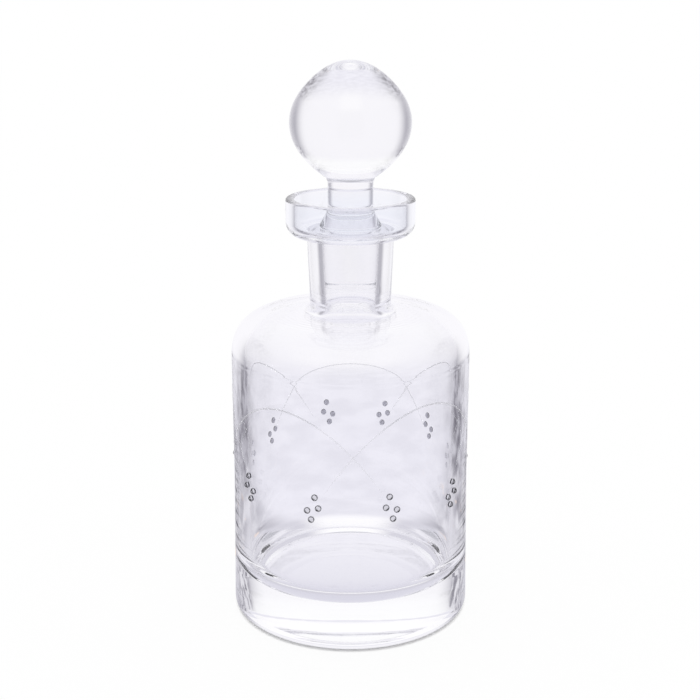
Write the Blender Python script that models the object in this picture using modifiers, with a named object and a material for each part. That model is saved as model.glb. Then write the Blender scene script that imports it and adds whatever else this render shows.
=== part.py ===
"""Glass whisky decanter with a ball stopper and clusters of small crystals on its wall.

Metres, +Z up. The origin is the middle of the foot, on the surface that the decanter stands on.
The front looks along -Y. An azimuth is measured from the front, and grows towards +X.
"""
import math

import bmesh
import bpy
from mathutils import Matrix, Vector

# Bottle: body
BASE_RADIUS = 0.0500
BODY_RADIUS = 0.0490
BASE_FLARE_HEIGHT = 0.0700
BASE_FLARE_POWER_SHARE = 1.5
SHOULDER_TOP = 0.1288
SHOULDER_HEIGHT = 0.0200
FOOT_EDGE_RADIUS = 0.0030
PUNT_DEPTH = 0.0006
PUNT_RADIUS = 0.0370
WALL = 0.0058
SHOULDER_WALL = 0.0054
FLOOR_THICKNESS = 0.0153
FLOOR_CORNER_RADIUS = 0.0136

# Bottle: neck and its ground bore
NECK_RADIUS = 0.0166
NECK_SWELL = 0.0008
NECK_LENGTH = 0.0308
NECK_FILLET = 0.0045
BORE_RADIUS = 0.0119
BORE_TAPER_SHARE = 0.05
BORE_MOUTH_RADIUS = 0.0075

# Bottle: gallery, the cup round the neck's mouth
GALLERY_RADIUS = 0.0260
GALLERY_HEIGHT = 0.0152
GALLERY_WALL = 0.0036
GALLERY_FLOOR = 0.0034
GALLERY_CORNER_RADIUS = 0.0056
GALLERY_INNER_CORNER = 0.0020
LIP_RADIUS = 0.0010

# Stopper
SEAT_CLEARANCE = 0.0003
BALL_RADIUS = 0.0242
BALL_DRAW_IN_SHARE = 0.049
SHANK_LENGTH = 0.0410
STEM_RADIUS = 0.0091
STEM_FILLET = 0.0010
STEM_FILLET_DROP = 0.0030
BELL_RADIUS = 0.0124
BELL_HEIGHT = 0.0076
BELL_EDGE_RADIUS = 0.0008
PLUG_LENGTH = 0.0240
PLUG_EDGE_RADIUS = 0.0008

# Crystals, and the ring of clusters that they stand in
CRYSTAL_RADIUS = 0.0013
CRYSTAL_HEIGHT = 0.0013
GIRDLE_THICKNESS = 0.0003
TABLE_SHARE = 0.55
GIRDLE_SIDES = 12
TABLE_SIDES = 6
CRYSTAL_SEAT_GAP = 0.0003
CLUSTER_WIDTH = 0.0045
CLUSTER_HEIGHT = 0.0095
RING_HEIGHT = 0.0648
RING_TILT = 0.0039
ARC_COUNT = 5
FIRST_APEX = math.radians(36)
ARC_HALF_SPAN = math.radians(54)
# Each crystal's place in its cluster: share of the width towards the arc's apex, share of the height up
CLUSTER_SHARES = {
    "top": (0.17, 0.51),
    "inner": (0.49, 0.05),
    "outer": (-0.51, -0.09),
    "bottom": (-0.15, -0.47),
}
# Each cluster's step off its even place: share of the half span round, share of the height up
OFFSET_SHARES = {
    "1_left": (0.013, -0.04),
    "1_right": (0.200, -0.34),
    "2_left": (0.017, -0.32),
    "2_right": (-0.024, 0.04),
    "3_left": (0.033, 0.11),
    "3_right": (-0.033, -0.11),
    "4_left": (-0.093, 0.02),
    "4_right": (-0.009, -0.04),
    "5_left": (-0.190, -0.18),
    "5_right": (0.015, -0.02),
}

# Fineness of the turned shapes
BODY_STEPS = 56
STOPPER_STEPS = 40
LIP_POINTS = 3
EDGE_POINTS = 5
CORNER_POINTS = 7
CURVE_POINTS = 12
BALL_POINTS = 21
HALVINGS = 40
MERGE_DISTANCE = 0.00005

# Where each long curve has its points, as shares of its own length
BASE_FLARE_SHARES = (1.0, 0.7, 0.45, 0.25, 0.12)
NECK_SHARES = (0.0, 0.35, 0.5, 0.65, 0.8)
NECK_SWELL_SHARES = (0.25, 0.85)
PUNT_SHARES = (1.0, 0.75, 0.5, 0.25, 0.0)
STEM_FILLET_SHARES = (0.35, 0.65, 1.0)
BELL_SHARES = (0.0, 0.2, 0.4, 0.6, 0.8, 1.0)
BELL_SWELL_POWER_SHARE = 1.2

SHOULDER_START = SHOULDER_TOP - SHOULDER_HEIGHT
SHOULDER_POWER_SHARES = (3.1, 2.75)
GALLERY_BOTTOM = SHOULDER_TOP + NECK_LENGTH
RIM_HEIGHT = GALLERY_BOTTOM + GALLERY_HEIGHT
CUP_FLOOR = GALLERY_BOTTOM + GALLERY_FLOOR
SEAT_HEIGHT = CUP_FLOOR + SEAT_CLEARANCE
BALL_CENTRE = SEAT_HEIGHT + SHANK_LENGTH


def body_radius(height):
    """Outer radius of the straight body, which flares out a little towards its foot."""
    above = min(max(height / BASE_FLARE_HEIGHT, 0.0), 1.0)
    return BODY_RADIUS + (BASE_RADIUS - BODY_RADIUS) * (1.0 - above) ** BASE_FLARE_POWER_SHARE


def bore_radius(height):
    """Radius of the ground bore, which narrows downwards from the gallery's floor."""
    return BORE_RADIUS - BORE_TAPER_SHARE * (CUP_FLOOR - height)


def arc(centre, radius, start, end, points):
    """Points of a round corner in the profile plane, from one angle to another."""
    steps = range(points)
    angles = [start + (end - start) * step / (points - 1) for step in steps]
    return [(centre[0] + radius * math.cos(a), centre[1] + radius * math.sin(a)) for a in angles]


def shoulder_curve(outer_radius, inner_radius, low, high, points):
    """Points of a shoulder from its side up to its crown, flatter on top than a round one."""
    curve = []
    for step in range(points):
        angle = math.pi / 2 * step / (points - 1)
        across = math.cos(angle) ** (2 / SHOULDER_POWER_SHARES[0]) if step < points - 1 else 0.0
        up = math.sin(angle) ** (2 / SHOULDER_POWER_SHARES[1])
        curve.append((inner_radius + (outer_radius - inner_radius) * across, low + (high - low) * up))
    return curve


def body_inner_profile():
    """Inside of the bottle, from the middle of its floor up to the cup of the gallery."""
    inner = BODY_RADIUS - WALL
    corner = FLOOR_CORNER_RADIUS
    points = [(0.0, FLOOR_THICKNESS)]
    points += arc((inner - corner, FLOOR_THICKNESS + corner), corner, -math.pi / 2, 0.0, CORNER_POINTS)
    ceiling = SHOULDER_TOP - SHOULDER_WALL
    mouth_top = ceiling + BORE_MOUTH_RADIUS
    mouth_radius = bore_radius(mouth_top)
    crown = mouth_radius + BORE_MOUTH_RADIUS
    points += shoulder_curve(inner, crown, SHOULDER_START, ceiling, CURVE_POINTS)
    points += arc((crown, mouth_top), BORE_MOUTH_RADIUS, -math.pi / 2, -math.pi, EDGE_POINTS)[1:]
    points.append((bore_radius(CUP_FLOOR), CUP_FLOOR))
    cup = GALLERY_RADIUS - GALLERY_WALL
    small = GALLERY_INNER_CORNER
    points += arc((cup - small, CUP_FLOOR + small), small, -math.pi / 2, 0.0, EDGE_POINTS)
    return points


def body_outer_profile():
    """Outside of the bottle, from the gallery's lip down to the middle of its foot."""
    lip_inner = GALLERY_RADIUS - GALLERY_WALL + LIP_RADIUS
    lip_outer = GALLERY_RADIUS - LIP_RADIUS
    lip_height = RIM_HEIGHT - LIP_RADIUS
    points = arc((lip_inner, lip_height), LIP_RADIUS, math.pi, math.pi / 2, LIP_POINTS)
    points += arc((lip_outer, lip_height), LIP_RADIUS, math.pi / 2, 0.0, LIP_POINTS)
    corner = GALLERY_CORNER_RADIUS
    turn = (GALLERY_RADIUS - corner, GALLERY_BOTTOM + corner)
    points += arc(turn, corner, 0.0, -math.pi / 2, CORNER_POINTS)
    points += neck_curve()
    foot_of_neck = NECK_RADIUS + NECK_FILLET
    fillet_top = SHOULDER_TOP + NECK_FILLET
    points += arc((foot_of_neck, fillet_top), NECK_FILLET, math.pi, 1.5 * math.pi, EDGE_POINTS)
    shoulder = shoulder_curve(BODY_RADIUS, foot_of_neck, SHOULDER_START, SHOULDER_TOP, CURVE_POINTS)
    points += reversed(shoulder[:-1])
    for share in BASE_FLARE_SHARES:
        height = BASE_FLARE_HEIGHT * share
        points.append((body_radius(height), height))
    edge = FOOT_EDGE_RADIUS
    points += arc((body_radius(edge) - edge, edge), edge, 0.0, -math.pi / 2, EDGE_POINTS)
    points += punt_curve()
    return points


def neck_curve():
    """The neck's outside: a little fuller just under the gallery than at its foot."""
    top = GALLERY_BOTTOM
    bottom = SHOULDER_TOP + NECK_FILLET
    curve = []
    start, end = NECK_SWELL_SHARES
    for share in NECK_SHARES:
        height = top + (bottom - top) * share
        faded = max(0.0, share - start) / (end - start)
        swell = NECK_SWELL * (1.0 + math.cos(math.pi * faded)) / 2
        curve.append((NECK_RADIUS + swell, height))
    return curve


def punt_curve():
    """The shallow hollow under the foot, from its rim in to the middle."""
    curve = []
    for share in PUNT_SHARES:
        curve.append((PUNT_RADIUS * share, PUNT_DEPTH * (1.0 - share * share)))
    return curve


def ball_point(angle):
    """A point of the ball's outline, at an angle down from its top. Its diagonals are drawn in a little."""
    distance = BALL_RADIUS * (1.0 - BALL_DRAW_IN_SHARE * math.sin(2.0 * angle) ** 2)
    return distance * math.sin(angle), BALL_CENTRE + distance * math.cos(angle)


def ball_angle_at(radius):
    """The angle below the ball's middle where its outline has drawn in to a radius, found by halving."""
    wide, narrow = math.pi / 2, math.pi
    for _ in range(HALVINGS):
        middle = (wide + narrow) / 2
        if ball_point(middle)[0] > radius:
            wide = middle
        else:
            narrow = middle
    return narrow


def stopper_profile():
    """The stopper from the top of its ball down to the end of its plug."""
    end_angle = ball_angle_at(STEM_RADIUS + STEM_FILLET)
    points = [(0.0, BALL_CENTRE + BALL_RADIUS)]
    for step in range(1, BALL_POINTS + 1):
        points.append(ball_point(end_angle * step / BALL_POINTS))
    under_ball = points[-1][1]
    for share in STEM_FILLET_SHARES:
        fillet = STEM_FILLET * (1.0 - share) ** 2
        points.append((STEM_RADIUS + fillet, under_ball - STEM_FILLET_DROP * share))
    for share in BELL_SHARES:
        swell = (BELL_RADIUS - STEM_RADIUS) * share ** BELL_SWELL_POWER_SHARE
        above_seat = BELL_HEIGHT * (1.0 - share) + BELL_EDGE_RADIUS * share
        points.append((STEM_RADIUS + swell, SEAT_HEIGHT + above_seat))
    points.append((BELL_RADIUS - BELL_EDGE_RADIUS, SEAT_HEIGHT))
    shift = SEAT_CLEARANCE
    plug_end = SEAT_HEIGHT - PLUG_LENGTH
    points.append((bore_radius(SEAT_HEIGHT) - shift, SEAT_HEIGHT))
    points.append((bore_radius(plug_end + PLUG_EDGE_RADIUS) - shift, plug_end + PLUG_EDGE_RADIUS))
    points.append((bore_radius(plug_end) - shift - PLUG_EDGE_RADIUS, plug_end))
    points.append((0.0, plug_end))
    return points


def glass_material():
    """Clear, faintly cool glass."""
    material = bpy.data.materials.new("clear_glass")
    material.use_nodes = True
    shader = material.node_tree.nodes["Principled BSDF"]
    shader.inputs["Base Color"].default_value = (0.95, 0.95, 0.98, 1.0)
    shader.inputs["Roughness"].default_value = 0.02
    shader.inputs["Metallic"].default_value = 0.0
    shader.inputs["IOR"].default_value = 1.52
    shader.inputs["Transmission Weight"].default_value = 1.0
    return material


def crystal_material():
    """Cut glass over silver foil."""
    material = bpy.data.materials.new("foiled_crystal")
    material.use_nodes = True
    shader = material.node_tree.nodes["Principled BSDF"]
    shader.inputs["Base Color"].default_value = (0.80, 0.82, 0.86, 1.0)
    shader.inputs["Roughness"].default_value = 0.08
    shader.inputs["Metallic"].default_value = 0.8
    return material


def turned_piece(name, profile, steps, collection, material):
    """Turns a profile about the Z axis into one closed body."""
    mesh = bpy.data.meshes.new(name)
    corners = [(radius, 0.0, height) for radius, height in profile]
    edges = [(index, index + 1) for index in range(len(corners) - 1)]
    mesh.from_pydata(corners, edges, [])
    piece = bpy.data.objects.new(name, mesh)
    collection.objects.link(piece)
    screw = piece.modifiers.new("turn", "SCREW")
    screw.axis = "Z"
    screw.steps = steps
    screw.render_steps = steps
    screw.use_merge_vertices = True
    screw.merge_threshold = MERGE_DISTANCE
    screw.use_smooth_shade = True
    mesh.materials.append(material)
    return piece


def crystal_mesh(material):
    """A flat-backed cut stone: round girdle, sloping facets and a flat table. Its back is at z = 0."""
    shape = bmesh.new()
    rings = (
        (GIRDLE_SIDES, CRYSTAL_RADIUS, 0.0),
        (GIRDLE_SIDES, CRYSTAL_RADIUS, GIRDLE_THICKNESS),
        (TABLE_SIDES, CRYSTAL_RADIUS * TABLE_SHARE, CRYSTAL_HEIGHT),
    )
    for sides, radius, height in rings:
        place = Matrix.Translation((0.0, 0.0, height))
        bmesh.ops.create_circle(shape, segments=sides, radius=radius, matrix=place)
    bmesh.ops.convex_hull(shape, input=shape.verts)
    bmesh.ops.recalc_face_normals(shape, faces=shape.faces)
    mesh = bpy.data.meshes.new("crystal")
    shape.to_mesh(mesh)
    shape.free()
    mesh.materials.append(material)
    return mesh


def place_crystal(name, mesh, azimuth, height, collection):
    """Seats one crystal on the wall, its back square to the wall's radius."""
    distance = body_radius(height) + CRYSTAL_SEAT_GAP
    crystal = bpy.data.objects.new(name, mesh)
    crystal.location = Vector((distance * math.sin(azimuth), -distance * math.cos(azimuth), height))
    crystal.rotation_euler = (math.pi / 2, 0.0, azimuth)
    collection.objects.link(crystal)


def add_crystals(collection, material):
    """Two clusters for each engraved arc, one under each of its ends."""
    mesh = crystal_mesh(material)
    for number in range(ARC_COUNT):
        apex = FIRST_APEX + 2.0 * math.pi * number / ARC_COUNT
        for side, sign in (("left", -1.0), ("right", 1.0)):
            even = apex + sign * ARC_HALF_SPAN
            turn, rise = OFFSET_SHARES[f"{number + 1}_{side}"]
            middle = even + turn * ARC_HALF_SPAN
            level = RING_HEIGHT - RING_TILT * math.cos(even) + rise * CLUSTER_HEIGHT
            for place, (across, up) in CLUSTER_SHARES.items():
                azimuth = middle - sign * across * CLUSTER_WIDTH / BODY_RADIUS
                height = level + up * CLUSTER_HEIGHT
                name = f"crystal_{number + 1}_{side}_{place}"
                place_crystal(name, mesh, azimuth, height, collection)


def main():
    for old in list(bpy.data.objects):
        bpy.data.objects.remove(old, do_unlink=True)
    collection = bpy.data.collections.new("whisky_decanter")
    bpy.context.scene.collection.children.link(collection)
    glass = glass_material()
    body_profile = body_inner_profile() + body_outer_profile()
    turned_piece("decanter_body", body_profile, BODY_STEPS, collection, glass)
    turned_piece("stopper", stopper_profile(), STOPPER_STEPS, collection, glass)
    add_crystals(collection, crystal_material())
    print("pieces", len(collection.objects), "total height", round(BALL_CENTRE + BALL_RADIUS, 4))


main()
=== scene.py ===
# %% [markdown]
# # A glass whisky decanter
# A clear decanter stands on a white table in a bright studio. Its body, neck and the cup round its mouth
# are one piece of glass. A solid stopper with a ball on top drops into the ground neck. Ten small groups of
# cut crystals are glued to the wall, and five fine arcs are engraved above them. The packed frame already
# holds every piece at its real size. It could be dressed as it is, but its turned pieces have flat sides,
# which glass shows at once. So the glass is turned again, finely, in the same place.

# %% Load the frame
import math

import bmesh
import bpy
from mathutils import Matrix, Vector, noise


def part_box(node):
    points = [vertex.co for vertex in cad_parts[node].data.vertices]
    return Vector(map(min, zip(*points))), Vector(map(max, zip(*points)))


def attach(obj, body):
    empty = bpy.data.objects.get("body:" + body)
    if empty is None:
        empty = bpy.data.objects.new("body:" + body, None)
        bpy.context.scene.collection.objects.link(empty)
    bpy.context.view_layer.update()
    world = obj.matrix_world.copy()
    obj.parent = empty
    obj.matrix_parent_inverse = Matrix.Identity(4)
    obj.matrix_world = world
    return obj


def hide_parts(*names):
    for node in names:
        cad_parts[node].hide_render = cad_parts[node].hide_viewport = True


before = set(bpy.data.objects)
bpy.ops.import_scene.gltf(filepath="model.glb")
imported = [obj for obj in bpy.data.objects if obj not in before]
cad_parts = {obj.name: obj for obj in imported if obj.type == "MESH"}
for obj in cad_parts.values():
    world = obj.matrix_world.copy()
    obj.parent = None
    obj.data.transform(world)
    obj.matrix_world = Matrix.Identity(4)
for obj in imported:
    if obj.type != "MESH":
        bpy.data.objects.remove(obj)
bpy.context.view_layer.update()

# %% [markdown]
# ## Sizes
# The overall sizes come from the frame, so that the glass fits its node. What lies between, such as walls
# and fillets, is written as real sizes in metres. A share is a part of some other size.

# %% Sizes of the bottle
body_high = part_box("decanter_body")[1]
stopper_low, stopper_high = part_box("stopper")
BASE_RADIUS = body_high.x
RIM_HEIGHT = body_high.z
FLARE = 0.0010
BODY_RADIUS = BASE_RADIUS - FLARE
FLARE_HEIGHT = 0.0700
FLARE_POWER = 1.5
GALLERY_RADIUS = 0.0260
GALLERY_HEIGHT = 0.0152
GALLERY_WALL = 0.0036
GALLERY_FLOOR = 0.0034
GALLERY_CORNER = 0.0056
GALLERY_INNER_CORNER = 0.0020
LIP_RADIUS = 0.0010
NECK_LENGTH = 0.0308
NECK_RADIUS = 0.0166
NECK_SWELL = 0.0008
NECK_FILLET = 0.0028
SHOULDER_HEIGHT = 0.0200
SHOULDER_WALL = 0.0054
SHOULDER_POWERS = (3.1, 2.75)
WALL = 0.0058
FLOOR_THICKNESS = 0.0153
FLOOR_CORNER = 0.0136
FOOT_EDGE = 0.0030
PUNT_RADIUS = 0.0370
PUNT_DEPTH = 0.0006
BORE_RADIUS = 0.0119
BORE_TAPER = 0.05
BORE_MOUTH = 0.0075
EASED_EDGE = 0.0004

GALLERY_BOTTOM = RIM_HEIGHT - GALLERY_HEIGHT
CUP_FLOOR = GALLERY_BOTTOM + GALLERY_FLOOR
SHOULDER_TOP = GALLERY_BOTTOM - NECK_LENGTH
SHOULDER_START = SHOULDER_TOP - SHOULDER_HEIGHT
print("rim at", round(RIM_HEIGHT, 4), "shoulder", round(SHOULDER_START, 4), "to", round(SHOULDER_TOP, 4))

# %% Sizes of the stopper
SEAT_CLEARANCE = 0.0003
SEAT_HEIGHT = CUP_FLOOR + SEAT_CLEARANCE
BALL_RADIUS = stopper_high.x
BALL_CENTRE = stopper_high.z - BALL_RADIUS
BALL_DRAW_IN = 0.049
STEM_RADIUS = 0.0091
STEM_FILLET = 0.0010
STEM_FILLET_DROP = 0.0030
BELL_RADIUS = 0.0124
BELL_HEIGHT = 0.0076
BELL_EDGE = 0.0008
BELL_POWER = 1.2
PLUG_END = stopper_low.z
PLUG_EDGE = 0.0008
print("ball radius", round(BALL_RADIUS, 4), "plug from", round(PLUG_END, 4), "to", round(SEAT_HEIGHT, 4))

# %% [markdown]
# ## Profiles
# A turned piece is half an outline, spun about the axis. The outline could be typed as a list of points,
# but then nobody could change a radius. So each stretch is a short formula that gives its points, as a
# radius and a height. A smooth surface lights well only if its points are close together beside each bend,
# so long straight stretches get a point near each end.

# %% Curves for the profiles
CORNER_STEPS = 9
CURVE_STEPS = 26
SUPPORT = 0.0004
LONG_RUN = 4 * SUPPORT


def arc(centre, radius, start, end, steps=CORNER_STEPS):
    """Points along part of a circle, from one angle in degrees to another."""
    points = []
    for step in range(steps + 1):
        angle = math.radians(start + (end - start) * step / steps)
        points.append((centre[0] + radius * math.cos(angle), centre[1] + radius * math.sin(angle)))
    return points


def shoulder(outer, inner, low, high):
    """A shoulder from its side up to its crown: flatter on top than a round one."""
    points = []
    for step in range(CURVE_STEPS + 1):
        angle = math.pi / 2 * step / CURVE_STEPS
        across = max(math.cos(angle), 0.0) ** (2 / SHOULDER_POWERS[0])
        up = math.sin(angle) ** (2 / SHOULDER_POWERS[1])
        points.append((inner + (outer - inner) * across, low + (high - low) * up))
    return points


def supported(points):
    """The same outline with an added point near both ends of each long stretch."""
    dense = [points[0]]
    for start, end in zip(points, points[1:]):
        run = math.dist(start, end)
        if run > LONG_RUN:
            for share in (SUPPORT / run, 1 - SUPPORT / run):
                dense.append(tuple(a + (b - a) * share for a, b in zip(start, end)))
        if run > 0:
            dense.append(end)
    return dense


print("a corner has", len(arc((0, 0), 1, 0, 90)), "points, a shoulder", len(shoulder(2, 1, 0, 1)))

# %% [markdown]
# ## The bottle's outline
# The inside starts in the middle of the thick floor, climbs the wall, follows the shoulder in to the ground
# bore, and opens into the cup. The outside comes down again to the foot, which is hollowed a little in the
# middle, so that the bottle stands on a ring.

# %% Outline of the bottle
FLARE_STEPS = 14
NECK_STEPS = 8
PUNT_STEPS = 8


def body_radius(height):
    """Outer radius of the wall, which flares out a little towards the foot."""
    above = min(max(height / FLARE_HEIGHT, 0.0), 1.0)
    return BODY_RADIUS + FLARE * (1 - above) ** FLARE_POWER


def bore_radius(height):
    """Radius of the ground bore, which narrows downwards."""
    return BORE_RADIUS - BORE_TAPER * (CUP_FLOOR - height)


def inside_of_bottle():
    """From the middle of the floor up to the cup's inner wall."""
    inner = BODY_RADIUS - WALL
    turn = (inner - FLOOR_CORNER, FLOOR_THICKNESS + FLOOR_CORNER)
    points = [(0.0, FLOOR_THICKNESS)]
    points += arc(turn, FLOOR_CORNER, -90, 0, CURVE_STEPS)
    ceiling = SHOULDER_TOP - SHOULDER_WALL
    mouth_top = ceiling + BORE_MOUTH
    crown = bore_radius(mouth_top) + BORE_MOUTH
    points += shoulder(inner, crown, SHOULDER_START, ceiling)
    points += arc((crown, mouth_top), BORE_MOUTH, 270, 180)[1:]
    edge = (bore_radius(CUP_FLOOR) + EASED_EDGE, CUP_FLOOR - EASED_EDGE)
    points += arc(edge, EASED_EDGE, 180, 90)
    cup = GALLERY_RADIUS - GALLERY_WALL
    corner = (cup - GALLERY_INNER_CORNER, CUP_FLOOR + GALLERY_INNER_CORNER)
    points += arc(corner, GALLERY_INNER_CORNER, -90, 0)
    return points


def neck():
    """The outside of the neck: a little fuller under the cup than at its foot."""
    points = []
    for step in range(NECK_STEPS + 1):
        share = step / NECK_STEPS
        swell = NECK_SWELL * (1 + math.cos(math.pi * share)) / 2
        height = GALLERY_BOTTOM + (SHOULDER_TOP + NECK_FILLET - GALLERY_BOTTOM) * share
        points.append((NECK_RADIUS + swell, height))
    return points


def outside_of_bottle():
    """From the cup's lip down to the middle of the foot."""
    lip = RIM_HEIGHT - LIP_RADIUS
    points = arc((GALLERY_RADIUS - GALLERY_WALL + LIP_RADIUS, lip), LIP_RADIUS, 180, 90)
    points += arc((GALLERY_RADIUS - LIP_RADIUS, lip), LIP_RADIUS, 90, 0)
    corner = (GALLERY_RADIUS - GALLERY_CORNER, GALLERY_BOTTOM + GALLERY_CORNER)
    points += arc(corner, GALLERY_CORNER, 0, -90)
    points += neck()
    foot_of_neck = NECK_RADIUS + NECK_FILLET
    points += arc((foot_of_neck, SHOULDER_TOP + NECK_FILLET), NECK_FILLET, 180, 270)[1:]
    points += reversed(shoulder(BODY_RADIUS, foot_of_neck, SHOULDER_START, SHOULDER_TOP)[:-1])
    for step in range(FLARE_STEPS):
        height = FLARE_HEIGHT - (FLARE_HEIGHT - FOOT_EDGE) * step / FLARE_STEPS
        points.append((body_radius(height), height))
    points += arc((body_radius(FOOT_EDGE) - FOOT_EDGE, FOOT_EDGE), FOOT_EDGE, 0, -90)
    for step in range(PUNT_STEPS, -1, -1):
        share = step / PUNT_STEPS
        points.append((PUNT_RADIUS * share, PUNT_DEPTH * (1 - share * share)))
    return points


bottle_outline = supported(inside_of_bottle() + outside_of_bottle())
print("the bottle's outline has", len(bottle_outline), "points")

# %% [markdown]
# ## The stopper's outline
# The ball is nearly a sphere, but drawn in a little at its diagonals, which makes it look slightly square.
# Below it come a short stem, a bell that covers the bore's mouth, and the tapered plug, which stays 0.3 mm
# clear of the bore.

# %% Outline of the stopper
BALL_STEPS = 60
BELL_STEPS = 12
HALVINGS = 40


def ball_point(angle):
    """A point of the ball's outline, at an angle down from its top."""
    distance = BALL_RADIUS * (1 - BALL_DRAW_IN * math.sin(2 * angle) ** 2)
    return distance * math.sin(angle), BALL_CENTRE + distance * math.cos(angle)


def ball_angle_at(radius):
    """The angle below the ball's middle where its outline has drawn in to a radius."""
    wide, narrow = math.pi / 2, math.pi
    for _ in range(HALVINGS):
        middle = (wide + narrow) / 2
        if ball_point(middle)[0] > radius:
            wide = middle
        else:
            narrow = middle
    return narrow


def outline_of_stopper():
    """From the top of the ball down to the middle of the plug's end."""
    end_angle = ball_angle_at(STEM_RADIUS + STEM_FILLET)
    points = [(0.0, BALL_CENTRE + BALL_RADIUS)]
    points += [ball_point(end_angle * step / BALL_STEPS) for step in range(1, BALL_STEPS + 1)]
    under_ball = points[-1][1]
    for step in range(1, BELL_STEPS + 1):
        share = step / BELL_STEPS
        points.append((STEM_RADIUS + STEM_FILLET * (1 - share) ** 2, under_ball - STEM_FILLET_DROP * share))
    for step in range(BELL_STEPS + 1):
        share = step / BELL_STEPS
        radius = STEM_RADIUS + (BELL_RADIUS - STEM_RADIUS) * share ** BELL_POWER
        points.append((radius, SEAT_HEIGHT + BELL_HEIGHT * (1 - share) + BELL_EDGE * share))
    points += arc((BELL_RADIUS - BELL_EDGE, SEAT_HEIGHT + BELL_EDGE), BELL_EDGE, 0, -90)[1:]
    points.append((bore_radius(SEAT_HEIGHT) - SEAT_CLEARANCE, SEAT_HEIGHT))
    plug = bore_radius(PLUG_END) - SEAT_CLEARANCE
    points += arc((plug - PLUG_EDGE, PLUG_END + PLUG_EDGE), PLUG_EDGE, 0, -90)
    points.append((0.0, PLUG_END))
    return points


stopper_outline = supported(outline_of_stopper())
print("the stopper's outline has", len(stopper_outline), "points")

# %% [markdown]
# ## Turning the glass
# The outline becomes a wire of one to three hundred vertices, and one spin about the axis turns it into a
# surface. The points on the axis are copied by the spin, so doubles are merged before the normals are
# worked out.

# %% Turn an outline
BOTTLE_TURNS = 176
STOPPER_TURNS = 128
MERGE = 0.000001


def turned(name, outline, turns):
    """One closed, smooth piece of glass, turned from an outline."""
    shape = bmesh.new()
    wire = [shape.verts.new((radius, 0.0, height)) for radius, height in outline]
    edges = [shape.edges.new(pair) for pair in zip(wire, wire[1:])]
    bmesh.ops.spin(shape, geom=wire + edges, cent=(0, 0, 0), axis=(0, 0, 1), angle=2 * math.pi,
                   steps=turns, use_merge=True)
    bmesh.ops.remove_doubles(shape, verts=shape.verts, dist=MERGE)
    bmesh.ops.recalc_face_normals(shape, faces=shape.faces)
    for face in shape.faces:
        face.smooth = True
    return finished(name, shape)


def finished(name, shape):
    """Puts a bmesh into the scene as an object at the origin."""
    mesh = bpy.data.meshes.new(name)
    shape.to_mesh(mesh)
    shape.free()
    piece = bpy.data.objects.new(name, mesh)
    bpy.context.scene.collection.objects.link(piece)
    return piece


bottle_glass = turned("bottle_glass", bottle_outline, BOTTLE_TURNS)
stopper_glass = turned("stopper_glass", stopper_outline, STOPPER_TURNS)
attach(bottle_glass, "bottle")
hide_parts("decanter_body")
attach(stopper_glass, "stopper")
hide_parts("stopper")
print("bottle", len(bottle_glass.data.polygons), "faces, stopper", len(stopper_glass.data.polygons))

# %% [markdown]
# ## The wave in the glass
# Blown glass is never quite even inside. The eye sees this as soft, bent streaks. A bump in the material
# would bend light too, but a wave in the mesh itself also moves the bright edges, so the inner wall is
# pushed in and out by a slow noise. The outside, the bore and the cup stay true.

# %% Let the inside of the bottle wave
WAVE_LENGTH = 0.030
WAVE_DEPTH = 0.00016
WAVE_FADE = 0.012


def wave_share(point):
    """How freely the glass waves at a point: 0 outside the cavity, 1 well inside it."""
    across = math.hypot(point.x, point.y)
    inner = BODY_RADIUS - WALL
    if across > inner + SUPPORT or point.z < FLOOR_THICKNESS - SUPPORT:
        return 0.0
    below_shoulder = (SHOULDER_TOP - SHOULDER_WALL - point.z) / WAVE_FADE
    return min(max(below_shoulder, 0.0), 1.0)


for vertex in bottle_glass.data.vertices:
    share = wave_share(vertex.co)
    if share > 0:
        vertex.co -= vertex.normal * noise.noise(vertex.co / WAVE_LENGTH) * WAVE_DEPTH * share
print("the inside waves by up to", WAVE_DEPTH * 1000, "mm")

# %% [markdown]
# ## Cut crystals
# Each stone has a thin girdle, two rows of facets up to a small table in front, and sloping faces down to a
# small flat one behind. Foil lines its back: bright in the middle, and near-black on the slopes as painted
# shade, so from the front it is a dark ring round a bright spot. A disc of foil lies under it, lacquered
# grey at the back, which shows through the far wall. The stone is the hull over a few rings of points. The
# disc is an extruded circle.

# %% Stones and their foil
STONE_RADIUS = 0.0013
STONE_HEIGHT = 0.0013
STONE_OFF_WALL = 0.0003
PAVILION = 0.00040
CULET_SHARE = 0.52
GIRDLE = 0.00012
GIRDLE_SIDES = 16
CROWN_SHARE = 0.80
CROWN_UP_SHARE = 0.62
STONE_TABLE_SHARE = 0.50
STONE_TABLE_SIDES = 8
FOIL_SHARE = 0.97
FOIL_THICKNESS = 0.00010
FOIL_GAP = 0.00002
CUT_GLASS, SILVER, LACQUER, SHADE_FOIL = range(4)
LEANS_BACK = -0.05
FLAT = 0.99


def ring(shape, sides, radius, height, turn=0.0):
    """A ring of points for the hull."""
    place = Matrix.Translation((0, 0, height)) @ Matrix.Rotation(turn, 4, "Z")
    return bmesh.ops.create_circle(shape, segments=sides, radius=radius, matrix=place)["verts"]


def stone_finish(face):
    """The finish of a stone's face: clear in front, painted shade on the slopes behind, silver on the flat
    back.
    """
    if face.normal.z > LEANS_BACK:
        return CUT_GLASS
    return SHADE_FOIL if face.normal.z > -FLAT else SILVER


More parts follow.
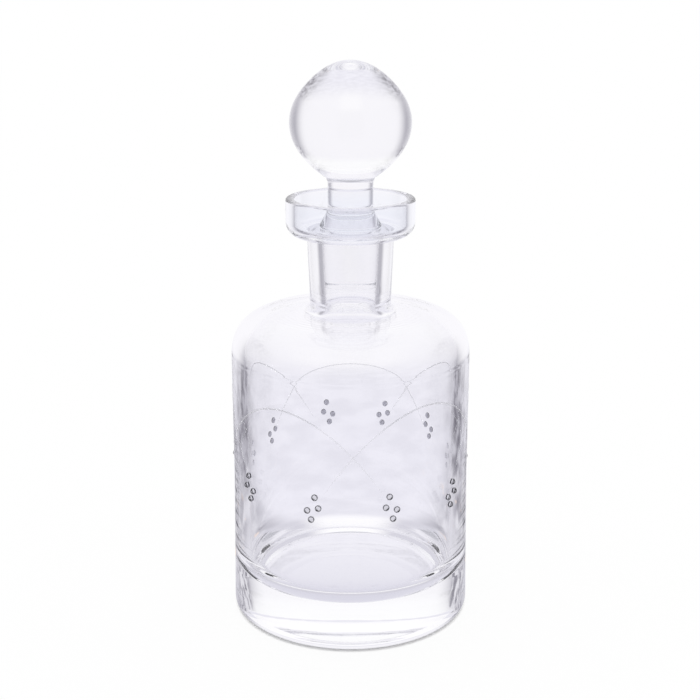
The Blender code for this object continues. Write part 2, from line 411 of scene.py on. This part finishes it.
def stone_shape():
    """A stone with its foil. The foil's back is at z = 0, and the stone faces +Z."""
    shape = bmesh.new()
    back = FOIL_THICKNESS + FOIL_GAP
    girdle = back + PAVILION
    rise = STONE_HEIGHT - PAVILION - GIRDLE
    half_side = math.pi / STONE_TABLE_SIDES
    ring(shape, STONE_TABLE_SIDES, STONE_RADIUS * CULET_SHARE, back)
    ring(shape, GIRDLE_SIDES, STONE_RADIUS, girdle)
    ring(shape, GIRDLE_SIDES, STONE_RADIUS, girdle + GIRDLE)
    ring(shape, STONE_TABLE_SIDES, STONE_RADIUS * CROWN_SHARE, girdle + GIRDLE + rise * CROWN_UP_SHARE)
    ring(shape, STONE_TABLE_SIDES, STONE_RADIUS * STONE_TABLE_SHARE, back + STONE_HEIGHT, half_side)
    bmesh.ops.convex_hull(shape, input=shape.verts)
    bmesh.ops.recalc_face_normals(shape, faces=shape.faces)
    for face in shape.faces:
        face.material_index = stone_finish(face)
    foil_radius = STONE_RADIUS * FOIL_SHARE
    disc = bmesh.ops.create_circle(shape, cap_ends=True, segments=GIRDLE_SIDES, radius=foil_radius)
    backing = disc["verts"][0].link_faces[0]
    raised = bmesh.ops.extrude_face_region(shape, geom=[backing])["geom"]
    lifted = [item for item in raised if isinstance(item, bmesh.types.BMVert)]
    bmesh.ops.translate(shape, verts=lifted, vec=(0, 0, FOIL_THICKNESS))
    foil = {face for vert in disc["verts"] + lifted for face in vert.link_faces}
    bmesh.ops.recalc_face_normals(shape, faces=list(foil))
    for face in foil:
        face.material_index = SILVER if face.normal.z > FLAT else LACQUER
    return shape


sample = stone_shape()
print("a stone and its foil have", len(sample.faces), "faces")
sample.free()

# %% [markdown]
# ## Setting the stones
# Ten groups stand in a ring round the body, one under each end of each arc. In every group the four stones
# make a slim diamond. Each stone takes the place of its own node, so its place is worked out as in the
# frame: the group's azimuth, and a small step across and up for each of the four.

# %% Places of the groups
ARC_COUNT = 5
FIRST_APEX = math.radians(36)
HALF_SPAN = math.radians(54)
RING_HEIGHT = 0.0648
RING_TILT = 0.0039
GROUP_WIDTH = 0.0045
GROUP_HEIGHT = 0.0095
GROUP_SHARES = {
    "top": (0.17, 0.51),
    "inner": (0.49, 0.05),
    "outer": (-0.51, -0.09),
    "bottom": (-0.15, -0.47),
}
STEPS_ASIDE = {
    "1_left": (0.013, -0.04),
    "1_right": (0.200, -0.34),
    "2_left": (0.017, -0.32),
    "2_right": (-0.024, 0.04),
    "3_left": (0.033, 0.11),
    "3_right": (-0.033, -0.11),
    "4_left": (-0.093, 0.02),
    "4_right": (-0.009, -0.04),
    "5_left": (-0.190, -0.18),
    "5_right": (0.015, -0.02),
}


def ring_level(azimuth):
    """Height of the ring of groups, which is tilted a little towards the front."""
    return RING_HEIGHT - RING_TILT * math.cos(azimuth)


def on_wall(azimuth, height, off_wall):
    """A place on the wall whose Z axis points away from the glass and whose Y axis points up."""
    reach = body_radius(height) + off_wall
    spot = Matrix.Translation((reach * math.sin(azimuth), -reach * math.cos(azimuth), height))
    return spot @ Matrix.Rotation(azimuth, 4, "Z") @ Matrix.Rotation(math.pi / 2, 4, "X")


stones = []
for number in range(ARC_COUNT):
    apex = FIRST_APEX + 2 * math.pi * number / ARC_COUNT
    for side, sign in (("left", -1), ("right", 1)):
        even = apex + sign * HALF_SPAN
        turn, rise = STEPS_ASIDE[f"{number + 1}_{side}"]
        for place, (across, up) in GROUP_SHARES.items():
            azimuth = even + turn * HALF_SPAN - sign * across * GROUP_WIDTH / BODY_RADIUS
            height = ring_level(even) + (rise + up) * GROUP_HEIGHT
            shape = stone_shape()
            back = STONE_OFF_WALL - FOIL_THICKNESS - FOIL_GAP
            turned_about = Matrix.Rotation(len(stones), 4, "Z")
            place_on_wall = on_wall(azimuth, height, back) @ turned_about
            bmesh.ops.transform(shape, matrix=place_on_wall, verts=shape.verts)
            name = f"{number + 1}_{side}_{place}"
            stone = finished(f"stone_{name}", shape)
            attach(stone, "bottle")
            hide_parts(f"crystal_{name}")
            stones.append(stone)
print("stones set", len(stones))

# %% [markdown]
# ## Engraved arcs
# A wheel cut leaves a fine, shallow line that is a little frosted and runs out to a point at its ends. It
# could be cut into the wall's mesh, but a groove of less than a millimetre would need the whole wall to be
# that fine. So each arc is a very thin frosted sliver on the wall, extruded step by step along its curve.
# Where two arcs cross, they lie on slightly different levels, so that neither cuts into the other. The
# tip's edges are extruded with its face, so that no old tip is left inside as a hidden wall.

# %% Engrave the arcs
ARCS = (
    (38.3, 54.0, 0.1006),
    (108.0, 54.0, 0.1020),
    (180.0, 53.0, 0.0985),
    (252.0, 54.0, 0.1020),
    (326.0, 52.4, 0.0991),
)
ARC_FOOT = 0.0620
ARC_REACH = 0.935
LINE_WIDTH = 0.00070
LINE_DEPTH = 0.00005
LINE_OFF_WALL = (0.00004, 0.00010, 0.00016)
LINE_SIDES = 6
LINE_STEPS = 96
RUN_OUT = 0.22
TIP_SHARE = 0.08


def arc_place(apex, half_span, top, off_wall, share):
    """The place and size of the engraved line at a share of its span, from -1 to 1."""
    height = top - (top - ARC_FOOT) * share * share
    slope = -2 * (top - ARC_FOOT) * share / (half_span * BODY_RADIUS)
    width = min(1.0, (ARC_REACH - abs(share)) / RUN_OUT + TIP_SHARE)
    size = Matrix.Diagonal((1, LINE_WIDTH / 2 * width, LINE_DEPTH / 2, 1))
    along = Matrix.Rotation(math.atan(slope), 4, "Z")
    return on_wall(apex + half_span * share, height, off_wall + LINE_DEPTH / 2) @ along @ size


def engraved_line(name, *curve):
    """One engraved arc: a small flat hexagon, extruded from one end of the arc to the other."""
    shape = bmesh.new()
    upright = Matrix.Rotation(math.pi / 2, 4, "Y")
    bmesh.ops.create_circle(shape, cap_ends=True, segments=LINE_SIDES, radius=1, matrix=upright)
    place = arc_place(*curve, -ARC_REACH)
    bmesh.ops.transform(shape, matrix=place, verts=shape.verts)
    tip = list(shape.faces)
    for step in range(1, LINE_STEPS + 1):
        raised = bmesh.ops.extrude_face_region(shape, geom=tip + list(tip[0].edges))["geom"]
        tip = [item for item in raised if isinstance(item, bmesh.types.BMFace)]
        moved = [item for item in raised if isinstance(item, bmesh.types.BMVert)]
        following = arc_place(*curve, ARC_REACH * (2 * step / LINE_STEPS - 1))
        bmesh.ops.transform(shape, matrix=following @ place.inverted(), verts=moved)
        place = following
    bmesh.ops.recalc_face_normals(shape, faces=shape.faces)
    return finished(name, shape)


arcs = []
for number, (apex, half_span, top) in enumerate(ARCS, start=1):
    off_wall = LINE_OFF_WALL[number % len(LINE_OFF_WALL)]
    curve = (math.radians(apex), math.radians(half_span), top, off_wall)
    line = engraved_line(f"engraved_arc_{number}", *curve)
    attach(line, "bottle")
    arcs.append(line)
print("arcs", len(arcs), "faces each", len(arcs[0].data.polygons))

# %% [markdown]
# ## Writing materials as sums
# A material is a net of nodes. Wiring each one by hand hides what it does, so a small class wraps a socket
# and lets Python's own signs add the Math nodes: `1 - mask * 0.2` becomes three nodes.

# %% A helper for node trees
class Value:
    """A socket that can be added, multiplied and so on. Each sign adds one Math node."""

    def __init__(self, net, socket):
        self.net = net
        self.socket = socket

    def sum(self, operation, first, second):
        return self.net.add("ShaderNodeMath", {"operation": operation}, {0: first, 1: second})

    def __add__(self, other):
        return self.sum("ADD", self, other)

    def __radd__(self, other):
        return self.sum("ADD", other, self)

    def __sub__(self, other):
        return self.sum("SUBTRACT", self, other)

    def __rsub__(self, other):
        return self.sum("SUBTRACT", other, self)

    def __mul__(self, other):
        return self.sum("MULTIPLY", self, other)

    def __rmul__(self, other):
        return self.sum("MULTIPLY", other, self)

    def __truediv__(self, other):
        return self.sum("DIVIDE", self, other)

    def __pow__(self, other):
        return self.sum("POWER", self, other)


class Net:
    """A node tree, with one method that adds any node."""

    def __init__(self, tree):
        self.tree = tree
        tree.nodes.clear()

    def add(self, kind, settings=None, values=None, out=0):
        """Adds a node, makes its settings, fills its sockets and gives one of its outputs."""
        node = self.tree.nodes.new(kind)
        for name, setting in (settings or {}).items():
            setattr(node, name, setting)
        for name, value in (values or {}).items():
            socket = node.inputs[name]
            if isinstance(value, Value):
                self.tree.links.new(value.socket, socket)
            else:
                socket.default_value = value
        return Value(self, node.outputs[out]) if node.outputs else None

    def end(self, kind, shader):
        """Ends the tree in its output node."""
        self.add(kind, {}, {"Surface": shader})

    def part(self, vector, axis):
        """One number of a vector."""
        return self.add("ShaderNodeSeparateXYZ", {}, {"Vector": vector}, out=axis)

    def position(self):
        """Where a point lies on the object, in metres."""
        return self.add("ShaderNodeTexCoord", out="Object")

    def noise(self, size, detail=2.0, place=None):
        """Soft noise whose patches are about so many metres wide, on the object or another place."""
        values = {"Vector": place or self.position(), "Scale": 1 / size, "Detail": detail}
        return self.add("ShaderNodeTexNoise", {}, values, out="Fac")

    def ease(self, value, low, high):
        """0 below a value's low mark, 1 above its high mark, smooth between."""
        settings = {"interpolation_type": "SMOOTHSTEP"}
        return self.add("ShaderNodeMapRange", settings, {"Value": value, "From Min": low, "From Max": high})

    def between(self, value, low, full, fading, high):
        """1 from a value's full mark to its fading mark, and 0 beyond its low and high marks."""
        return self.ease(value, low, full) * (1 - self.ease(value, fading, high))

    def blend(self, share, first, second):
        """A colour between two colours."""
        settings = {"data_type": "RGBA"}
        return self.add("ShaderNodeMix", settings, {0: share, 6: first, 7: second}, out=2)


def backness(net, way):
    """1 straight behind the bottle, 0 out to its sides, -1 in front of it."""
    x = net.part(way, "X")
    y = net.part(way, "Y")
    return y / (x * x + y * y) ** 0.5


def new_material(name):
    """An empty material and its net."""
    material = bpy.data.materials.new(name)
    material.use_nodes = True
    return material, Net(material.node_tree)


reflected = sorted(name for name in vars(Value) if name.startswith("__r"))
print("signs that also work from the right:", reflected)

# %% [markdown]
# ## Clear glass
# Polished glass has almost no colour of its own. It shows by bending and mirroring what is round it. Still,
# it isn't perfect: the surface has a faint wave left from shaping, the polish is a trace softer in places,
# and the tint shifts a little. All three are slow noises, far too weak to be seen by themselves. The cup is
# the one place with a visible tint: it looks a little bluer than the rest, so it has its own, by height.

# %% Make the glass
GLASS_IOR = 1.52
GLASS_TINTS = ((0.984, 0.984, 0.996, 1.0), (0.996, 0.995, 1.0, 1.0))
TINT_PATCH = 0.045
CUP_TINT = (0.962, 0.974, 1.0, 1.0)
CUP_TINT_HEIGHTS = (0.158, 0.166, 0.171, 0.176)
SOFTEST_POLISH = 0.012
POLISH_MARKS = (0.55, 0.80)
POLISH_PATCH = 0.012
SURFACE_WAVE_LENGTH = 0.022
SURFACE_WAVE_DEPTH = 0.00005


def clear_glass():
    """Clear, faintly cool glass with a slight wave."""
    material, net = new_material("clear glass")
    height = net.part(net.position(), "Z")
    in_cup = net.between(height, *CUP_TINT_HEIGHTS)
    slow = net.noise(SURFACE_WAVE_LENGTH, detail=1.0)
    values = {
        "Base Color": net.blend(in_cup, net.blend(net.noise(TINT_PATCH), *GLASS_TINTS), CUP_TINT),
        "Roughness": SOFTEST_POLISH * net.ease(net.noise(POLISH_PATCH), *POLISH_MARKS),
        "IOR": GLASS_IOR,
        "Transmission Weight": 1.0,
        "Normal": net.add("ShaderNodeBump", {}, {"Height": slow, "Distance": SURFACE_WAVE_DEPTH}),
    }
    net.end("ShaderNodeOutputMaterial", net.add("ShaderNodeBsdfPrincipled", {}, values))
    return material


glass = clear_glass()
for piece in (bottle_glass, stopper_glass):
    piece.data.materials.append(glass)
print("glass on", bottle_glass.name, "and", stopper_glass.name)

# %% [markdown]
# ## Crystal, foil and lacquer
# The stones' glass bends light more than the bottle's, so their facets flash. Behind them lie silvered
# foil, which is a patchy mirror, and near-black foil on the slopes, which is painted shade for the dark
# ring.
# The lacquer on the foil's back is a grey metal paint, brushed on unevenly. A plain grey could be used for
# it,
# but it would turn out too dark: in Cycles little light reaches a plain surface through glass, while a
# metallic one mirrors the room.

# %% Make the stones' finishes
CRYSTAL_IOR = 1.58
CRYSTAL_TINTS = ((0.97, 0.97, 0.99, 1.0), (1.0, 1.0, 1.0, 1.0))
CRYSTAL_ROUGHNESS = 0.01
LACQUER_GREYS = ((0.54, 0.54, 0.59, 1.0), (0.74, 0.74, 0.80, 1.0))
# Painted shade: the near-black foil on the stones' slopes gives each stone its dark ring.
PAINTED_SHADE_TONES = ((0.01, 0.01, 0.015, 1.0), (0.06, 0.06, 0.07, 1.0))
SILVERS = ((0.92, 0.92, 0.94, 1.0), (1.0, 1.0, 1.0, 1.0))
STONE_PATCH = 0.0012
ROUGHNESS_SPREAD = 0.1


def cut_crystal():
    """Bright, clear cut glass."""
    material, net = new_material("cut crystal")
    tint = net.blend(net.noise(STONE_PATCH), *CRYSTAL_TINTS)
    rough = CRYSTAL_ROUGHNESS * net.noise(STONE_PATCH / 2)
    values = {"Base Color": tint, "Roughness": rough, "IOR": CRYSTAL_IOR, "Transmission Weight": 1.0}
    net.end("ShaderNodeOutputMaterial", net.add("ShaderNodeBsdfPrincipled", {}, values))
    return material


def brushed(name, colours, metallic, rough):
    """A patchy finish between two colours, with a roughness that follows the patches."""
    material, net = new_material(name)
    patches = net.noise(STONE_PATCH)
    rough = rough + ROUGHNESS_SPREAD * patches
    values = {"Base Color": net.blend(patches, *colours), "Metallic": metallic, "Roughness": rough}
    net.end("ShaderNodeOutputMaterial", net.add("ShaderNodeBsdfPrincipled", {}, values))
    return material


finishes = {
    CUT_GLASS: cut_crystal(),
    SILVER: brushed("silvered foil", SILVERS, metallic=1.0, rough=0.10),
    LACQUER: brushed("grey lacquer", LACQUER_GREYS, metallic=1.0, rough=0.35),
    # the near-black foil on the slopes is painted shade
    SHADE_FOIL: brushed("foil with painted shade", PAINTED_SHADE_TONES, metallic=0.6, rough=0.20),
}
for stone in stones:
    for layer in sorted(finishes):
        stone.data.materials.append(finishes[layer])
print("finishes on the stones", [finishes[layer].name for layer in sorted(finishes)])

# %% [markdown]
# ## The frosted line
# The wheel leaves tiny chips, so the cut scatters light and looks paler than the clear glass in front of a
# dark ground, and greyer in front of a bright one. It could be as white all along, but it is greyer towards
# the top of each arc, and worn faint at the very front of the bottle. A fine noise gives it grain.

# %% Make the frosted line
FROST_LOW = (0.97, 0.97, 0.98, 1.0)
FROST_HIGH = (0.76, 0.76, 0.80, 1.0)
FROST_HEIGHTS = (0.078, 0.098)
FROST_GRAIN = 0.0004
FROST_RAGGED = 0.006
FROST_ROUGHNESS = 0.35
FROST_ROUGHNESS_SPREAD = 0.3
FROST_CLEARNESS = 0.7
FROST_SHOWS = (0.10, 0.36)
WORN_TURNS = (0.950, 0.978)


def frosted_cut():
    """A wheel cut: frosted, with grain, and worn faint at the front."""
    material, net = new_material("frosted cut")
    grain = net.noise(FROST_GRAIN)
    height = net.part(net.position(), "Z") + FROST_RAGGED * (grain - 0.5)
    worn = net.ease(0 - backness(net, net.position()), *WORN_TURNS)
    shows = FROST_SHOWS[1] - (FROST_SHOWS[1] - FROST_SHOWS[0]) * worn
    values = {
        "Base Color": net.blend(net.ease(height, *FROST_HEIGHTS), FROST_LOW, FROST_HIGH),
        "Roughness": FROST_ROUGHNESS + FROST_ROUGHNESS_SPREAD * grain,
        "IOR": GLASS_IOR,
        "Transmission Weight": FROST_CLEARNESS,
        "Alpha": shows,
    }
    net.end("ShaderNodeOutputMaterial", net.add("ShaderNodeBsdfPrincipled", {}, values))
    return material


frost = frosted_cut()
for line in arcs:
    line.data.materials.append(frost)
print("frost on", len(arcs), "arcs")

# %% [markdown]
# ## The studio
# Clear glass is lit by its background. Here the camera sees pure white, while the glass looks out on a room
# whose wall is bright behind the bottle and dim at the slants. The edge between them draws the dark lines
# at the sides of the ball, the stem and the neck. High up at the slants runs a mottled cornice, which gives
# the foot its streaks. Lamps could light it, but each would show in the glass as a hot spot. A world made
# of broad zones is even and renders with little grain.

# %% Light the studio
WHITE = (1.0, 1.0, 1.0, 1.0)
BACK_WALL = (0.97, 0.96, 0.99, 1.0)
BACK_WALL_TURNS = (0.55, 0.82)
DIM_WALL = (0.45, 0.44, 0.49, 1.0)
SIDE_WALL = (0.74, 0.73, 0.78, 1.0)
SIDE_WALL_TURNS = (-0.10, 0.45)
CAMERA_WALL = (0.50, 0.50, 0.54, 1.0)
CAMERA_WALL_TURNS = (-0.95, -0.85)
CEILING_BACK = (1.03, 1.03, 1.03, 1.0)
CEILING_FRONT = (0.88, 0.87, 0.92, 1.0)
CEILING_TURNS = (0.0, 0.85)
CEILING_RISE = (0.47, 0.62)
CEILING_DROP = 0.12
CORNICE = ((0.16, 0.15, 0.19, 1.0), (0.80, 0.79, 0.83, 1.0))
CORNICE_PATCH = 0.06
CORNICE_HEIGHTS = (0.30, 0.37, 0.49, 0.56)
CORNICE_TURNS = (0.15, 0.35, 0.56, 0.68)
MOTTLE_MARKS = (0.40, 0.60)


def mirrored(net):
    """1 for what glass and mirrors see, 0 for what the camera and plain surfaces see."""
    glossy = net.add("ShaderNodeLightPath", out="Is Glossy Ray")
    return glossy + net.add("ShaderNodeLightPath", out="Is Transmission Ray")


def wall_tone(net, back):
    """The walls: bright behind, dim at the slants, lighter at the sides, dim again round the camera."""
    side = net.blend(net.ease(back, *SIDE_WALL_TURNS), SIDE_WALL, DIM_WALL)
    rest = net.blend(net.ease(back, *CAMERA_WALL_TURNS), CAMERA_WALL, side)
    return net.blend(net.ease(back, *BACK_WALL_TURNS), rest, BACK_WALL)


def studio_world():
    """White to the camera, and zones of light to the glass."""
    world = bpy.data.worlds.new("studio")
    world.use_nodes = True
    net = Net(world.node_tree)
    way = net.add("ShaderNodeTexCoord", out="Generated")
    back = backness(net, way)
    ceiling = net.blend(net.ease(back, *CEILING_TURNS), CEILING_FRONT, CEILING_BACK)
    rise = net.part(way, "Z") + CEILING_DROP * back
    zones = net.blend(net.ease(rise, *CEILING_RISE), wall_tone(net, back), ceiling)
    cornice = net.between(net.part(way, "Z"), *CORNICE_HEIGHTS) * net.between(back, *CORNICE_TURNS)
    mottle = net.ease(net.noise(CORNICE_PATCH, detail=3.0, place=way), *MOTTLE_MARKS)
    zones = net.blend(cornice, zones, net.blend(mottle, *CORNICE))
    colour = net.blend(mirrored(net), WHITE, zones)
    net.end("ShaderNodeOutputWorld", net.add("ShaderNodeBackground", {}, {"Color": colour}))
    return world


bpy.context.scene.world = studio_world()
print("the studio's nodes:", len(bpy.context.scene.world.node_tree.nodes))

# %% [markdown]
# ## The table
# The table is white to the camera and keeps a faint shadow, deeper under the foot and at its edge. To the
# glass it shows a painted shadow right under the foot, darker in front, a bright ring of light behind the
# foot, a pale, cloudy field further back, and dim, patchy slants to both sides, with a few warm patches and
# a streak of painted shade near the foot. Far out it takes the walls' tones, and a glint lies straight
# behind.
# If the glass saw the plain white table too, its wall would lose all its streaks and its foot all its
# lines.

# %% Set the table
TABLE_RADIUS = 3.0
TABLE_CORNERS = 96
TABLE_GAP = 0.0003
# Painted shadow on the table right under the foot, as the glass sees it, darker in front.
UNDER_SHADOW_FRONT = (0.70, 0.69, 0.78, 1.0)
UNDER_SHADOW_BACK = (0.90, 0.89, 0.95, 1.0)
UNDER_SHADOW_SPREAD = (-0.045, 0.045)
UNDER_SHADOW_EDGE = (0.043, 0.047)
RING_SIDE = (0.66, 0.65, 0.72, 1.0)
RING_BACK = (1.06, 1.05, 1.06, 1.0)
RING_TURNS = (0.88, 0.985)
RING_EDGE = (0.058, 0.066)
FIELD_BACK = ((0.82, 0.81, 0.88, 1.0), (0.90, 0.89, 0.96, 1.0))
FIELD_CLOUD = 0.030
FIELD_TURNS = (0.64, 0.93)
FIELD_EDGE = (0.18, 0.60)
PATCH_MARKS = (0.35, 0.65)
SLANT_NEAR = ((0.30, 0.29, 0.34, 1.0), (0.84, 0.83, 0.88, 1.0))
SLANT_FAR = ((0.05, 0.04, 0.07, 1.0), (0.56, 0.55, 0.61, 1.0))
SLANT_PATCH = 0.04
SLANT_TURNS = (0.20, 0.62)
SLANT_EDGE = (0.14, 0.22)
# Painted shade: a dark streak on the table at both slants near the foot, as the glass sees it.
SHADE_STREAKS = ((0.10, 0.09, 0.12, 1.0), (0.40, 0.39, 0.44, 1.0))
SHADE_STREAK_TURNS = (0.52, 0.57, 0.66, 0.71)
SHADE_STREAK_REACH = (0.100, 0.110, 0.130, 0.145)
GLINT = (1.0, 0.99, 1.01, 1.0)
GLINT_TURNS = (0.988, 0.9995)
GLINT_REACH = (0.38, 0.55, 0.70, 1.1)
NARROWING = 0.045
NARROWING_EDGE = (0.16, 0.24)
WARM = (1.0, 0.78, 0.64, 1.0)
WARM_PATCH = 0.025
WARM_MARKS = (0.62, 0.70)
WARM_EDGE = (0.12, 0.18)
FIELD_FRONT = (0.74, 0.73, 0.79, 1.0)
SHADOW_SHARE = 0.06
CONTACT_SHARE = 0.80
CONTACT_REACH = (0.0485, 0.0502)


def slant_tone(net, reach, patch):
    """The slants to both sides: patchy, darker further out, with warm patches near the foot."""
    near = net.blend(patch, *SLANT_NEAR)
    slant = net.blend(net.ease(reach, *SLANT_EDGE), near, net.blend(patch, *SLANT_FAR))
    warm = net.ease(net.noise(WARM_PATCH), *WARM_MARKS) * (1 - net.ease(reach, *WARM_EDGE))
    return net.blend(warm, slant, WARM)


def field_tone(net, back, reach):
    """The field round the foot: pale and cloudy behind it, slants to both sides, grey in front, with a band
    of painted shade.
    """
    patch = net.ease(net.noise(SLANT_PATCH, detail=3.0), *PATCH_MARKS)
    side = net.blend(net.ease(back, *SLANT_TURNS), FIELD_FRONT, slant_tone(net, reach, patch))
    cloud = net.ease(net.noise(FIELD_CLOUD, detail=5.0), *PATCH_MARKS)
    turned_to = back - NARROWING * net.ease(reach, *NARROWING_EDGE)
    field = net.blend(net.ease(turned_to, *FIELD_TURNS), side, net.blend(cloud, *FIELD_BACK))
    # a streak of painted shade near the foot
    shade_streak = net.between(back, *SHADE_STREAK_TURNS) * net.between(reach, *SHADE_STREAK_REACH)
    return net.blend(shade_streak, field, net.blend(patch, *SHADE_STREAKS))


def table_finish():
    """White with a faint shadow to the camera, and zones of light to the glass."""
    material, net = new_material("white table")
    place = net.position()
    x = net.part(place, "X")
    y = net.part(place, "Y")
    reach = (x * x + y * y) ** 0.5
    back = backness(net, place)
    far = net.blend(net.ease(reach, *FIELD_EDGE), field_tone(net, back, reach), wall_tone(net, back))
    glint = net.ease(back, *GLINT_TURNS) * net.between(reach, *GLINT_REACH)
    far = net.blend(glint, far, GLINT)
    # the painted shadow under the foot, darker in front
    under = net.blend(net.ease(y, *UNDER_SHADOW_SPREAD), UNDER_SHADOW_FRONT, UNDER_SHADOW_BACK)
    ring_of_light = net.blend(net.ease(back, *RING_TURNS), RING_SIDE, RING_BACK)
    near = net.blend(net.ease(reach, *UNDER_SHADOW_EDGE), under, ring_of_light)
    zones = net.blend(net.ease(reach, *RING_EDGE), near, far)
    seen_in_glass = net.add("ShaderNodeEmission", {}, {"Color": zones})
    lit = net.add("ShaderNodeBsdfDiffuse", {}, {"Color": WHITE})
    glow = net.add("ShaderNodeEmission", {}, {"Color": WHITE})
    shadow = SHADOW_SHARE + CONTACT_SHARE * (1 - net.ease(reach, *CONTACT_REACH))
    plain = net.add("ShaderNodeMixShader", {}, {"Fac": shadow, 1: glow, 2: lit})
    both = net.add("ShaderNodeMixShader", {}, {"Fac": mirrored(net), 1: plain, 2: seen_in_glass})
    net.end("ShaderNodeOutputMaterial", both)
    return material


table_top = bmesh.new()
below = Matrix.Translation((0, 0, -TABLE_GAP))
bmesh.ops.create_circle(table_top, cap_ends=True, segments=TABLE_CORNERS, radius=TABLE_RADIUS, matrix=below)
table = finished("table", table_top)
table.data.materials.append(table_finish())
print("table", TABLE_RADIUS * 2, "m across")

# %% [markdown]
# ## The camera
# The camera stands half a metre away and looks down a little, so the cup's rim and the foot show as ovals.
# Light turns many times inside thick glass, so it gets more bounces than usual. A ray that runs out of
# bounces comes back black.

# %% Place the camera
CAMERA_LENS = 67.2
CAMERA_PLACE = (-0.0002, -0.5170, 0.2645)
CAMERA_TILT = math.radians(16.51)
CLIP_START = 0.01
GLASS_BOUNCES = 32
MIRROR_BOUNCES = 24

camera_data = bpy.data.cameras.new("camera")
camera_data.lens = CAMERA_LENS
camera_data.clip_start = CLIP_START
camera = bpy.data.objects.new("camera", camera_data)
camera.location = CAMERA_PLACE
camera.rotation_euler = (math.pi / 2 - CAMERA_TILT, 0, 0)
bpy.context.scene.collection.objects.link(camera)
bpy.context.scene.camera = camera
bpy.context.scene.view_settings.view_transform = "Standard"
bpy.context.scene.cycles.max_bounces = GLASS_BOUNCES
bpy.context.scene.cycles.transmission_bounces = GLASS_BOUNCES
bpy.context.scene.cycles.glossy_bounces = MIRROR_BOUNCES
print("camera", CAMERA_LENS, "mm, looking down", round(math.degrees(CAMERA_TILT), 1), "degrees")

# %% [markdown]
# ## Last things
